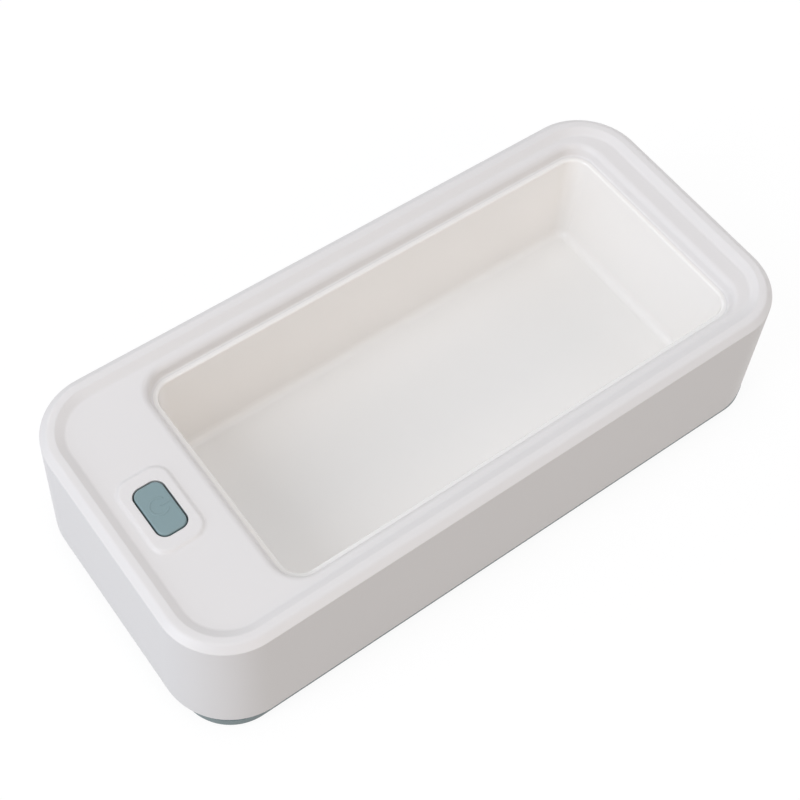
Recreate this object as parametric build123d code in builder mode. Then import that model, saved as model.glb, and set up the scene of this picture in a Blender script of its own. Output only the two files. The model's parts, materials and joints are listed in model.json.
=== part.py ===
from build123d import *
import math
import os

os.makedirs("parts", exist_ok=True)

# Millimetres. The origin is the middle of the footprint on the table and +Z is up.
# +X runs from the button to the far end of the tank, and -Y is the long front side.

# Opening over the tank, which sets the plan of the whole housing
opening_length = 179.4
opening_width = 84.4
opening_corner_radius = 9.5
opening_round = 2.4  # rounding of the deck's edge into the opening
opening_lean = 0.8  # how far the opening's wall comes in from the deck down to the shelf
button_bay_length = 36.3  # from the outer face at the button end to the opening
far_margin = 14.3  # from the opening to the outer face at the far end
side_margin = 10.5  # from the opening to each long outer face

# Heights, from the table up
foot_height = 1.2  # what the feet stand proud of the base plate
base_floor = 2.0
under_tank_space = 4.3
tank_floor = 2.0
tank_depth = 37.5
shelf_depth = 6.2  # from the top of the rim down to the tank's shelf
base_rise = 4.0  # visible height of the base plate
rim_height = 1.8  # the rim stands this far above the deck
deck_thickness = 2.5

# Housing
housing_corner_radius = 21.8
housing_draft = 1.74  # degrees: the walls spread towards the bottom edge
housing_wall = 2.5
bevel_width = 2.3  # plan width of the bevel round the rim's outer edge
bevel_drop = 1.8
bevel_top_round = 1.7
bevel_foot_round = 0.45
housing_bottom_round = 0.5
rim_width = 4.7  # from the outer face to the start of the rim's inner slope
rim_slope = 2.8  # plan width of that slope
skirt_wall = 2.4  # lip under the deck that presses on the gasket

# Tank
shelf_width = 2.9  # from the opening's edge in to the tank's mouth
tank_draft = 3.63
tank_wall = 2.0
tank_mouth_round = 0.8
tank_floor_round = 3.2
flange_thickness = 2.0
flange_reach = 7.2  # from the opening's edge outwards, under the deck
gasket_width = 1.4
gasket_depth = 1.0

# Base plate
base_end_inset = 2.55  # from the housing's bottom outline, at both ends
base_side_inset = 0.9  # and along both sides
base_corner_radius = 17.3
base_round = 0.8
lip_wall = 1.8
lip_height = 2.4  # above the housing's bottom edge
lip_clearance = 0.3

# Screws through the base plate
base_screw_inset = 6.8  # from the housing's end faces
base_screw_spread = 48.0  # between the two at each end
side_screw_inset = 5.1  # from the long faces
side_screw_x = 15.0
base_boss_diameter = 7.0
base_boss_seat = 8.0  # height at which the bosses meet the base plate's pillars
base_boss_height = 32.0
base_pillar_diameter = 7.5
rib_thickness = 2.4
base_screw_diameter = 2.9
base_screw_length = 13.0
base_screw_head_diameter = 5.2
base_screw_head_height = 2.0
base_screw_bridge = 3.6  # plastic under the screw head
screw_clearance = 0.4  # hole over thread, and pocket over head

# Shape of every screw, as shares of its own sizes
head_round_share = 0.33  # of the head's height
tip_chamfer_share = 0.2  # of the shank's diameter
recess_length_share = 0.6  # of the head's diameter
recess_width_share = 0.17  # of the head's diameter
recess_depth_share = 0.5  # of the head's height

# Screws through the tank's flange
tank_screw_reach = 4.7  # from the opening's edge to the screw line
tank_screw_pitch = 61.0
tank_boss_diameter = 5.0
tank_screw_diameter = 2.4
tank_screw_length = 5.2
tank_screw_head_diameter = 4.4
tank_screw_head_height = 1.6

# Feet
foot_diameter = 10.0
foot_recess = 0.8
foot_clearance = 0.2
foot_inset_x = 18.0
foot_inset_y = 17.0
foot_round = 0.3

# Button
button_offset = 19.2  # from the housing's outer face to the middle of the button
button_length = 17.6
button_width = 9.6
button_corner_radius = 2.9
button_gap = 0.5
button_proud = 0.2  # above the pad round it
button_round = 0.6
button_travel = 1.0
pad_length = 26.8
pad_width = 16.4
pad_corner_radius = 4.5
pad_height = 0.8
pad_round = 0.5
cap_flange_reach = 1.4  # keeps the cap in the hole
cap_flange_thickness = 1.0
cap_flange_gap = 0.1
cap_post_diameter = 5.0
cap_post_length = 1.0
sign_offset = 0.6  # from the button's middle towards the rear
sign_radius = 2.7
sign_line = 0.7
sign_height = 0.15
sign_opening = 70.0  # degrees left out of the ring
sign_stroke_place = 1.8  # from the ring's middle to the middle of the stroke

# Button dome and switch board
dome_top_diameter = 6.0
dome_foot_diameter = 9.2
dome_wall = 0.8
dome_plate_length = 19.0
dome_plate_width = 13.0
dome_height = 3.6
pill_diameter = 3.6
pad_contact_thickness = 0.2
pad_contact_diameter = 5.0
pad_contact_split = 0.6
board_thickness = 1.6
switch_board_length = 38.0
switch_board_width = 17.0
switch_screw_spread = 31.0
switch_boss_diameter = 5.5

# Small screws that hold both boards
board_screw_diameter = 2.2
board_screw_length = 6.0
board_screw_head_diameter = 4.2
board_screw_head_height = 1.4

# Main board, in the dry bay under the deck
main_board_offset = 23.0  # from the housing's outer face to its middle
main_board_end_gap = 8.7  # from each end of the board to the line of the housing's long face
main_board_width = 22.0
main_board_height = 6.0  # of the posts above the base plate's floor
post_diameter = 5.6
post_spread_x = 15.0
post_spread_y = 60.0

# Power inlet for a 5.5 mm barrel plug
jack_offset_x = 3.0
jack_width = 9.0
jack_length = 14.0
jack_height = 11.0
jack_axis_height = 6.5
jack_bore_diameter = 6.4
jack_bore_depth = 10.0
jack_pin_diameter = 2.0
jack_pin_setback = 1.0
jack_wall_gap = 0.2
jack_spring_width = 2.0
jack_spring_thickness = 0.4
jack_spring_length = 8.0
jack_round = 1.5
jack_pin_round = 0.4
inlet_hole_diameter = 8.6
inlet_cut_length = 10.0  # enough to pass through the drafted wall

# Step-up transformer
transformer_y = 14.0
core_width = 19.0
core_depth = 5.0
core_height = 15.0
core_yoke = 2.7
core_leg = 4.8
core_side_leg = 2.5
bobbin_wall = 0.5
transformer_winding_round = 1.6
winding_gap = 0.3

# Series inductor
inductor_x = -5.0
inductor_y = -1.0
inductor_diameter = 9.0
inductor_height = 8.0
inductor_flange = 1.2
inductor_neck = 4.0
inductor_winding_diameter = 8.2

# Other parts of the driver board
main_capacitor_y = 27.0
main_capacitor_diameter = 8.0
main_capacitor_height = 12.0
small_capacitor_x = -2.8
small_capacitor_diameter = 5.0
small_capacitor_height = 11.0
capacitor_round = 0.6
film_x = 5.0
film_y = -1.0
film_length = 10.0
film_width = 7.0
film_height = 10.0
film_round = 0.8
chip_x = -4.0
chip_y = -13.0
chip_length = 5.0
chip_width = 4.0
chip_height = 1.5
chip_leg_count = 4
chip_leg_pitch = 1.27
chip_leg_width = 0.4
chip_leg_reach = 1.0
heat_sink_y = -22.0
heat_sink_width = 20.0
heat_sink_plate = 2.0
heat_sink_height = 14.0
fin_count = 5
fin_length = 2.6
fin_thickness = 1.2
transistor_width = 10.0
transistor_tab = 1.3
transistor_tab_height = 13.5
transistor_body = 4.4
transistor_body_height = 8.5
transistor_hole_height = 11.0
transistor_screw_diameter = 2.9
transistor_screw_head_diameter = 5.0
transistor_screw_head_height = 1.6
transducer_connector_x = 5.0
transducer_connector_y = -12.5
button_connector_x = 2.6
front_row_inset = 5.5  # from the board's front end to the last row of parts
connector_width = 5.0
connector_length = 6.5
connector_height = 6.0

# Transducer, its plate and the leads
plate_diameter = 50.0
plate_thickness = 0.8
disc_diameter = 36.0
disc_thickness = 1.6
disc_round = 0.3
solder_size = 3.0
solder_bottom = 0.6  # above the base plate's floor
live_solder_x = -9.0  # from the disc's middle
return_solder_x = -21.0
return_solder_y = -8.0
lead_diameter = 1.0
lead_pitch = 2.5
lead_run_height = 1.25  # middle of the leads above the base plate's floor
lead_bay_gap = 2.4  # from the main board's edge to the drop of the leads
lead_exit_height = 2.8  # above the main board
lead_turn_start = 0.45  # share of the run along the floor before the leads turn to their joints
lead_turn_end = 0.75
button_lead_x = 4.0
button_lead_y = -14.0
button_lead_drop = 11.6
button_lead_rise = 9.2  # above the connector
smallest_bend_share = 0.45

# Sizes worked out from the ones above
housing_length = button_bay_length + opening_length + far_margin
housing_width = opening_width + 2 * side_margin
opening_x = (button_bay_length - far_margin) / 2
base_bottom = foot_height
inner_floor = base_bottom + base_floor
housing_bottom = base_bottom + base_rise
tank_underside = inner_floor + under_tank_space
tank_floor_top = tank_underside + tank_floor
shelf_top = tank_floor_top + tank_depth
rim_top = shelf_top + shelf_depth
deck_top = rim_top - rim_height
opening_draft = math.degrees(math.atan(opening_lean / (deck_top - shelf_top)))
deck_underside = deck_top - deck_thickness
pad_top = deck_top + pad_height
housing_height = rim_top - housing_bottom
end_x = housing_length / 2
side_y = housing_width / 2
button_x = button_offset - end_x
board_x = main_board_offset - end_x
board_bottom = inner_floor + main_board_height
board_top = board_bottom + board_thickness
main_board_length = 2 * (side_y - main_board_end_gap)
front_row_y = front_row_inset - main_board_length / 2
face_slack = 0.001  # for finding a face by its height


# How far the drafted walls have spread from the rim down to a height
def spread(height):
    return (rim_top - height) * math.tan(math.radians(housing_draft))


# A rounded rectangle at a height
def outline(height, length, width, radius, centre_x=0.0):
    with BuildSketch(Plane.XY.offset(height)) as sketch:
        with Locations((centre_x, 0)):
            RectangleRounded(length, width, radius)
    return sketch.sketch


# The housing's outline at a height, moved in from its outer face
def housing_outline(height, inset):
    grow = spread(height) - inset
    radius = housing_corner_radius + grow
    return outline(height, housing_length + 2 * grow, housing_width + 2 * grow, radius)


# The opening's outline at a height, moved outwards by a distance
def opening_outline(height, grow):
    radius = opening_corner_radius + grow
    return outline(height, opening_length + 2 * grow, opening_width + 2 * grow, radius, opening_x)


# The flat faces of a part that lie at a height
def faces_at(part, height):
    return part.faces().filter_by_position(Axis.Z, height - face_slack, height + face_slack)


# The level edges of a part that lie at a height
def edges_at(part, height):
    return part.edges().filter_by_position(Axis.Z, height - face_slack, height + face_slack)


# Discs of one diameter at a height
def discs(height, diameter, points):
    with BuildSketch(Plane.XY.offset(height)) as sketch:
        with Locations(*points):
            Circle(diameter / 2)
    return sketch.sketch


# A pan-head screw with a cross recess: its head stands on z = 0 and its shank points down
def pan_screw(head_diameter, head_height, shank_diameter, shank_length):
    recess_length = head_diameter * recess_length_share
    recess_width = head_diameter * recess_width_share
    with BuildPart() as screw:
        extrude(discs(0, head_diameter, [(0, 0)]), amount=head_height)
        fillet(faces().sort_by(Axis.Z)[-1].edges(), head_height * head_round_share)
        extrude(discs(0, shank_diameter, [(0, 0)]), amount=-shank_length)
        chamfer(faces().sort_by(Axis.Z)[0].edges(), shank_diameter * tip_chamfer_share)
        with BuildSketch(Plane.XY.offset(head_height)):
            Rectangle(recess_length, recess_width)
            Rectangle(recess_width, recess_length)
        extrude(amount=-head_height * recess_depth_share, mode=Mode.SUBTRACT)
    return screw.part


# Copies of a screw, driven downwards, or upwards from below
def screw_group(screw, height, points, upwards=False):
    turn = (180, 0, 0) if upwards else (0, 0, 0)
    with BuildPart() as group:
        with Locations(*[Location((x, y, height), turn) for x, y in points]):
            add(screw)
    return group.part


# An insulated lead along a route of straight runs joined by arcs
def lead(points):
    vectors = [Vector(*point) for point in points]
    runs = [after - before for before, after in zip(vectors, vectors[1:])]
    radii = []
    for before, after in zip(runs, runs[1:]):
        half_turn = math.radians(before.get_angle(after)) / 2
        radii.append(smallest_bend_share * min(before.length, after.length) / math.tan(half_turn))
    with BuildPart() as wire:
        with BuildLine() as route:
            FilletPolyline(*points, radius=radii)
        with BuildSketch(Plane(origin=route.line @ 0, z_dir=route.line % 0)):
            Circle(lead_diameter / 2)
        sweep(path=route.line)
    print("lead bend radii:", [round(radius, 1) for radius in radii])
    return wire.part


def save(part, name):
    part.label = name
    export_step(part, f"parts/{name}.step")


# Places of the screws, feet and posts
end_screw_x = end_x - base_screw_inset
end_screw_points = [
    (side * end_screw_x, end * base_screw_spread / 2) for side in (-1, 1) for end in (-1, 1)
]
side_screw_points = [(side_screw_x, side * (side_y - side_screw_inset)) for side in (-1, 1)]
base_screw_points = end_screw_points + side_screw_points
tank_screw_y = opening_width / 2 + tank_screw_reach
tank_screw_x = opening_length / 2 + tank_screw_reach
tank_screw_points = [
    (opening_x + step * tank_screw_pitch, side * tank_screw_y) for step in (-1, 0, 1) for side in (-1, 1)
] + [(opening_x + side * tank_screw_x, 0) for side in (-1, 1)]
foot_x = end_x - foot_inset_x
foot_y = side_y - foot_inset_y
foot_points = [(x_side * foot_x, y_side * foot_y) for x_side in (-1, 1) for y_side in (-1, 1)]
post_xs = (board_x - post_spread_x / 2, board_x + post_spread_x / 2)
post_points = [(x, side * post_spread_y / 2) for x in post_xs for side in (-1, 1)]
switch_screw_points = [(button_x, side * switch_screw_spread / 2) for side in (-1, 1)]

# Heights of the button's stack, from the cap down to the switch board
cap_top = pad_top + button_proud
cap_flange_top = deck_underside - cap_flange_gap
cap_flange_bottom = cap_flange_top - cap_flange_thickness
cap_bottom = cap_flange_bottom - cap_post_length
switch_board_top = cap_bottom - dome_height
switch_board_bottom = switch_board_top - board_thickness
contact_top = switch_board_top + pad_contact_thickness
pill_bottom = contact_top + button_travel
pill_top = cap_bottom - dome_wall

# Power inlet: it lies behind the rear wall, near the button end
jack_x = board_x + jack_offset_x
jack_axis_z = board_top + jack_axis_height
jack_front = side_y + spread(board_top + jack_height) - housing_wall - jack_wall_gap

# Upper housing: drafted shell, sunk deck, opening, button pad, bosses and inlet hole
with BuildPart() as upper_housing:
    extrude(housing_outline(housing_bottom, 0), amount=housing_height, taper=housing_draft)
    chamfer(faces_at(upper_housing.part, rim_top).edges(), bevel_drop, bevel_width)
    fillet(edges_at(upper_housing.part, rim_top - bevel_drop), bevel_foot_round)
    fillet(faces_at(upper_housing.part, rim_top).edges(), bevel_top_round)
    fillet(faces().sort_by(Axis.Z)[0].edges(), housing_bottom_round)
    extrude(
        housing_outline(housing_bottom, housing_wall),
        amount=deck_underside - housing_bottom,
        taper=housing_draft,
        mode=Mode.SUBTRACT,
    )
    extrude(opening_outline(shelf_top, skirt_wall), amount=deck_underside - shelf_top)
    loft(
        sections=[housing_outline(deck_top, rim_width + rim_slope), housing_outline(rim_top, rim_width)],
        mode=Mode.SUBTRACT,
    )
    extrude(
        opening_outline(shelf_top, -opening_lean),
        amount=shelf_depth,
        taper=-opening_draft,
        mode=Mode.SUBTRACT,
    )
    deck = faces_at(upper_housing.part, deck_top)[0]
    fillet(deck.inner_wires()[0].edges(), opening_round)

    # Raised pad with the button's hole
    extrude(outline(deck_top, pad_width, pad_length, pad_corner_radius, button_x), amount=pad_height)
    fillet(faces_at(upper_housing.part, pad_top).edges(), pad_round)
    hole_radius = button_corner_radius + button_gap
    hole_size = (button_width + 2 * button_gap, button_length + 2 * button_gap)
    extrude(
        outline(deck_underside, *hole_size, hole_radius, button_x),
        amount=pad_top - deck_underside,
        mode=Mode.SUBTRACT,
    )

    # Bosses under the deck for the switch board and the tank
    extrude(
        discs(switch_board_top, switch_boss_diameter, switch_screw_points),
        amount=deck_underside - switch_board_top,
    )
    extrude(discs(shelf_top, tank_boss_diameter, tank_screw_points), amount=deck_underside - shelf_top)
    extrude(
        discs(switch_board_top, board_screw_diameter, switch_screw_points),
        amount=board_screw_length - board_thickness,
        mode=Mode.SUBTRACT,
    )
    extrude(
        discs(shelf_top, tank_screw_diameter, tank_screw_points),
        amount=tank_screw_length - flange_thickness,
        mode=Mode.SUBTRACT,
    )

    # Long bosses for the base screws, each tied to the wall by a rib
    rib_spread = spread(base_boss_seat + base_boss_height / 2)
    rib_end_x = end_x + rib_spread - housing_wall / 2
    rib_end_y = side_y + rib_spread - housing_wall / 2
    with BuildSketch(Plane.XY.offset(base_boss_seat)):
        with Locations(*base_screw_points):
            Circle(base_boss_diameter / 2)
        for x, y in end_screw_points:
            with Locations((math.copysign(abs(x) + rib_end_x, x) / 2, y)):
                Rectangle(rib_end_x - abs(x), rib_thickness)
        for x, y in side_screw_points:
            with Locations((x, math.copysign(abs(y) + rib_end_y, y) / 2)):
                Rectangle(rib_thickness, rib_end_y - abs(y))
    extrude(amount=base_boss_height)
    extrude(
        discs(base_boss_seat, base_screw_diameter, base_screw_points),
        amount=base_screw_length - base_screw_bridge,
        mode=Mode.SUBTRACT,
    )

    # Hole in the rear wall in front of the power inlet
    with Locations((jack_x, side_y, jack_axis_z)):
        Cylinder(
            inlet_hole_diameter / 2, inlet_cut_length, rotation=(90, 0, 0), mode=Mode.SUBTRACT
        )
save(upper_housing.part, "upper_housing")

# Tank: a drafted tub with a flange that is clamped under the deck
with BuildPart() as tank:
    extrude(
        opening_outline(shelf_top, tank_wall - shelf_width),
        amount=-(tank_depth + tank_floor),
        taper=tank_draft,
    )
    fillet(faces().sort_by(Axis.Z)[0].edges(), tank_floor_round + tank_floor)
    extrude(opening_outline(shelf_top, flange_reach), amount=-flange_thickness)
    extrude(
        opening_outline(shelf_top, -shelf_width), amount=-tank_depth, taper=tank_draft, mode=Mode.SUBTRACT
    )
    fillet(faces_at(tank.part, tank_floor_top).edges(), tank_floor_round)
    fillet(faces_at(tank.part, shelf_top)[0].inner_wires()[0].edges(), tank_mouth_round)
    with BuildSketch(Plane.XY.offset(shelf_top)):
        add(opening_outline(0, (skirt_wall + gasket_width) / 2))
        add(opening_outline(0, (skirt_wall - gasket_width) / 2), mode=Mode.SUBTRACT)
    extrude(amount=-gasket_depth, mode=Mode.SUBTRACT)
    extrude(
        discs(shelf_top, tank_screw_diameter + screw_clearance, tank_screw_points),
        amount=-flange_thickness,
        mode=Mode.SUBTRACT,
    )
save(tank.part, "tank")

# Gasket in the flange's groove, pressed by the skirt
with BuildPart() as tank_gasket:
    with BuildSketch(Plane.XY.offset(shelf_top)):
        add(opening_outline(0, (skirt_wall + gasket_width) / 2))
        add(opening_outline(0, (skirt_wall - gasket_width) / 2), mode=Mode.SUBTRACT)
    extrude(amount=-gasket_depth)
save(tank_gasket.part, "tank_gasket")

tank_screw = pan_screw(
    tank_screw_head_diameter, tank_screw_head_height, tank_screw_diameter, tank_screw_length
)
save(screw_group(tank_screw, shelf_top - flange_thickness, tank_screw_points, upwards=True), "tank_screws")

# Base plate: a tray with a lip inside the housing, screw pillars, board posts and foot recesses
base_length = housing_length + 2 * (spread(housing_bottom) - base_end_inset)
base_width = housing_width + 2 * (spread(housing_bottom) - base_side_inset)
lip_inset = housing_wall + lip_clearance
with BuildPart() as base_plate:
    extrude(outline(base_bottom, base_length, base_width, base_corner_radius), amount=base_rise)
    fillet(faces().sort_by(Axis.Z)[0].edges(), base_round)
    lip_grow = spread(housing_bottom) - lip_inset
    lip_size = (
        housing_length + 2 * lip_grow,
        housing_width + 2 * lip_grow,
        housing_corner_radius + lip_grow,
    )
    extrude(outline(housing_bottom, *lip_size), amount=lip_height)
    well_grow = lip_grow - lip_wall
    well_size = (
        housing_length + 2 * well_grow,
        housing_width + 2 * well_grow,
        housing_corner_radius + well_grow,
    )
    extrude(
        outline(inner_floor, *well_size),
        amount=housing_bottom + lip_height - inner_floor,
        mode=Mode.SUBTRACT,
    )
    extrude(
        discs(inner_floor, base_pillar_diameter, base_screw_points), amount=base_boss_seat - inner_floor
    )
    extrude(
        discs(base_bottom, base_screw_head_diameter + screw_clearance, base_screw_points),
        amount=base_boss_seat - base_screw_bridge - base_bottom,
        mode=Mode.SUBTRACT,
    )
    extrude(
        discs(base_bottom, base_screw_diameter + screw_clearance, base_screw_points),
        amount=base_boss_seat - base_bottom,
        mode=Mode.SUBTRACT,
    )
    extrude(discs(inner_floor, post_diameter, post_points), amount=main_board_height)
    extrude(
        discs(board_bottom, board_screw_diameter, post_points),
        amount=-(board_screw_length - board_thickness),
        mode=Mode.SUBTRACT,
    )
    extrude(
        discs(base_bottom, foot_diameter + 2 * foot_clearance, foot_points),
        amount=foot_recess,
        mode=Mode.SUBTRACT,
    )
save(base_plate.part, "base_plate")

base_screw = pan_screw(
    base_screw_head_diameter, base_screw_head_height, base_screw_diameter, base_screw_length
)
save(
    screw_group(base_screw, base_boss_seat - base_screw_bridge, base_screw_points, upwards=True),
    "base_screws",
)

with BuildPart() as rubber_feet:
    extrude(discs(0, foot_diameter, foot_points), amount=foot_height + foot_recess)
    fillet(faces_at(rubber_feet.part, 0).edges(), foot_round)
save(rubber_feet.part, "rubber_feet")

# Button cap: a rounded key with a raised power sign, a flange that keeps it in and a short post
with BuildPart() as button_cap:
    extrude(
        outline(cap_flange_bottom, button_width, button_length, button_corner_radius, button_x),
        amount=cap_top - cap_flange_bottom,
    )
    fillet(faces().sort_by(Axis.Z)[-1].edges(), button_round)
    extrude(
        outline(
            cap_flange_bottom,
            button_width + 2 * cap_flange_reach,
            button_length + 2 * cap_flange_reach,
            button_corner_radius + cap_flange_reach,
            button_x,
        ),
        amount=cap_flange_thickness,
    )
    extrude(discs(cap_bottom, cap_post_diameter, [(button_x, 0)]), amount=cap_post_length)
    with BuildSketch(Plane.XY.offset(cap_top)):
        with Locations((button_x, sign_offset)):
            Circle(sign_radius + sign_line / 2)
            Circle(sign_radius - sign_line / 2, mode=Mode.SUBTRACT)
        with BuildLine():
            wedge_length = 2 * sign_radius
            wedge_width = wedge_length * math.tan(math.radians(sign_opening / 2))
            Polyline(
                (button_x, sign_offset),
                (button_x + wedge_length, sign_offset + wedge_width),
                (button_x + wedge_length, sign_offset - wedge_width),
                close=True,
            )
        make_face(mode=Mode.SUBTRACT)
        with Locations((button_x + sign_stroke_place, sign_offset)):
            Rectangle(sign_radius, sign_line)
    extrude(amount=sign_height)
save(button_cap.part, "button_cap")

# Silicone dome under the cap, with its plate on the switch board
with BuildPart() as button_dome:
    extrude(
        outline(switch_board_top, dome_plate_width, dome_plate_length, button_corner_radius, button_x),
        amount=dome_wall,
    )
    extrude(
        discs(switch_board_top, dome_foot_diameter, [(button_x, 0)]), amount=dome_wall, mode=Mode.SUBTRACT
    )
    with BuildSketch(Plane.XZ):
        with BuildLine():
            outer_foot = button_x + dome_foot_diameter / 2
            outer_top = button_x + dome_top_diameter / 2
            Polyline(
                (button_x, cap_bottom),
                (outer_top, cap_bottom),
                (outer_foot, switch_board_top + dome_wall),
                (outer_foot, switch_board_top),
                (outer_foot - dome_wall, switch_board_top),
                (outer_top - dome_wall, pill_top),
                (button_x, pill_top),
                close=True,
            )
        make_face()
    revolve(axis=Axis((button_x, 0, 0), (0, 0, 1)))
save(button_dome.part, "button_dome")

with BuildPart() as contact_pill:
    extrude(discs(pill_bottom, pill_diameter, [(button_x, 0)]), amount=pill_top - pill_bottom)
save(contact_pill.part, "contact_pill")

with BuildPart() as contact_pads:
    with BuildSketch(Plane.XY.offset(switch_board_top)):
        with Locations((button_x, 0)):
            Circle(pad_contact_diameter / 2)
            Rectangle(pad_contact_split, pad_contact_diameter, mode=Mode.SUBTRACT)
    extrude(amount=pad_contact_thickness)
save(contact_pads.part, "contact_pads")

with BuildPart() as switch_board:
    with BuildSketch(Plane.XY.offset(switch_board_bottom)):
        with Locations((button_x, 0)):
            Rectangle(switch_board_width, switch_board_length)
    extrude(amount=board_thickness)
    extrude(
        discs(switch_board_bottom, board_screw_diameter + screw_clearance, switch_screw_points),
        amount=board_thickness,
        mode=Mode.SUBTRACT,
    )
save(switch_board.part, "switch_board")

board_screw = pan_screw(
    board_screw_head_diameter, board_screw_head_height, board_screw_diameter, board_screw_length
)
save(
    screw_group(board_screw, switch_board_bottom, switch_screw_points, upwards=True),
    "switch_board_screws",
)

# Main board on four posts of the base plate
with BuildPart() as main_board:
    with BuildSketch(Plane.XY.offset(board_bottom)):
        with Locations((board_x, 0)):
            Rectangle(main_board_width, main_board_length)
    extrude(amount=board_thickness)
    extrude(
        discs(board_bottom, board_screw_diameter + screw_clearance, post_points),
        amount=board_thickness,
        mode=Mode.SUBTRACT,
    )
save(main_board.part, "main_board")
save(screw_group(board_screw, board_top, post_points), "main_board_screws")

# Power inlet
with BuildPart() as dc_jack_body:
    with Locations((jack_x, jack_front - jack_length / 2, board_top)):
        Box(jack_width, jack_length, jack_height, align=(Align.CENTER, Align.CENTER, Align.MIN))
    fillet(edges().filter_by(Axis.Y).group_by(Axis.Z)[-1], jack_round)
    with Locations((jack_x, jack_front - jack_bore_depth / 2, jack_axis_z)):
        Cylinder(jack_bore_diameter / 2, jack_bore_depth, rotation=(90, 0, 0), mode=Mode.SUBTRACT)
    spring_place = (
        jack_x,
        jack_front - jack_bore_depth + jack_spring_length / 2,
        jack_axis_z - jack_bore_diameter / 2,
    )
    with Locations(spring_place):
        Box(jack_spring_width, jack_spring_length, 2 * jack_spring_thickness, mode=Mode.SUBTRACT)
save(dc_jack_body.part, "dc_jack_body")

with BuildPart() as dc_jack_pin:
    pin_length = jack_bore_depth - jack_pin_setback
    with Locations((jack_x, jack_front - jack_bore_depth + pin_length / 2, jack_axis_z)):
        Cylinder(jack_pin_diameter / 2, pin_length, rotation=(90, 0, 0))
    fillet(faces().sort_by(Axis.Y)[-1].edges(), jack_pin_round)
save(dc_jack_pin.part, "dc_jack_pin")

with BuildPart() as dc_jack_spring:
    with Locations(spring_place):
        Box(
            jack_spring_width,
            jack_spring_length,
            jack_spring_thickness,
            align=(Align.CENTER, Align.CENTER, Align.MAX),
        )
save(dc_jack_spring.part, "dc_jack_spring")

# Transformer: a closed ferrite core on its centre leg, a bobbin and the winding
window_width = (core_width - core_leg - 2 * core_side_leg) / 2
window_height = core_height - 2 * core_yoke
window_x = (core_leg + window_width) / 2
winding_width = core_leg + 2 * (window_width - winding_gap)
winding_depth = core_depth + 2 * (window_width - winding_gap)
window_bottom = board_top + core_yoke
centred_low = (Align.CENTER, Align.CENTER, Align.MIN)
with BuildPart() as transformer_core:
    with Locations((board_x, transformer_y, board_top)):
        Box(core_width, core_depth, core_height, align=centred_low)
    with Locations(*[(board_x + side * window_x, transformer_y, window_bottom) for side in (-1, 1)]):
        Box(window_width, core_depth, window_height, align=centred_low, mode=Mode.SUBTRACT)
save(transformer_core.part, "transformer_core")

with BuildPart() as transformer_bobbin:
    with Locations((board_x, transformer_y, window_bottom)):
        Box(winding_width, winding_depth, window_height, align=centred_low)
        Box(core_leg, core_depth, window_height, align=centred_low, mode=Mode.SUBTRACT)
    with BuildSketch(Plane.XY.offset(window_bottom + bobbin_wall)):
        with Locations((board_x, transformer_y)):
            Rectangle(winding_width, winding_depth)
            Rectangle(core_leg + 2 * bobbin_wall, core_depth + 2 * bobbin_wall, mode=Mode.SUBTRACT)
    extrude(amount=window_height - 2 * bobbin_wall, mode=Mode.SUBTRACT)
save(transformer_bobbin.part, "transformer_bobbin")

with BuildPart() as transformer_winding:
    with BuildSketch(Plane.XY.offset(window_bottom + bobbin_wall)):
        with Locations((board_x, transformer_y)):
            RectangleRounded(winding_width, winding_depth, transformer_winding_round)
            Rectangle(core_leg + 2 * bobbin_wall, core_depth + 2 * bobbin_wall, mode=Mode.SUBTRACT)
    extrude(amount=window_height - 2 * bobbin_wall)
save(transformer_winding.part, "transformer_winding")

# Inductor: a drum core with its winding between the flanges
inductor_place = [(board_x + inductor_x, inductor_y)]
neck_bottom = board_top + inductor_flange
neck_height = inductor_height - 2 * inductor_flange
with BuildPart() as inductor_core:
    extrude(discs(board_top, inductor_diameter, inductor_place), amount=inductor_flange)
    extrude(discs(neck_bottom, inductor_neck, inductor_place), amount=neck_height)
    extrude(discs(neck_bottom + neck_height, inductor_diameter, inductor_place), amount=inductor_flange)
save(inductor_core.part, "inductor_core")

with BuildPart() as inductor_winding:
    extrude(discs(neck_bottom, inductor_winding_diameter, inductor_place), amount=neck_height)
    extrude(discs(neck_bottom, inductor_neck, inductor_place), amount=neck_height, mode=Mode.SUBTRACT)
save(inductor_winding.part, "inductor_winding")

# Capacitors
with BuildPart() as filter_capacitors:
    extrude(
        discs(board_top, main_capacitor_diameter, [(board_x, main_capacitor_y)]),
        amount=main_capacitor_height,
    )
    extrude(
        discs(board_top, small_capacitor_diameter, [(board_x + small_capacitor_x, front_row_y)]),
        amount=small_capacitor_height,
    )
    fillet(edges().filter_by(GeomType.CIRCLE), capacitor_round)
save(filter_capacitors.part, "filter_capacitors")

with BuildPart() as film_capacitor:
    with Locations((board_x + film_x, film_y, board_top)):
        Box(film_width, film_length, film_height, align=centred_low)
    fillet(faces().sort_by(Axis.Z)[-1].edges(), film_round)
save(film_capacitor.part, "film_capacitor")

# Control chip with a row of legs on each side
with BuildPart() as control_chip:
    with Locations((board_x + chip_x, chip_y, board_top)):
        Box(chip_width, chip_length, chip_height, align=centred_low)
        with GridLocations(0, chip_leg_pitch, 1, chip_leg_count):
            Box(chip_width + 2 * chip_leg_reach, chip_leg_width, chip_leg_width, align=centred_low)
save(control_chip.part, "control_chip")

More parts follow.
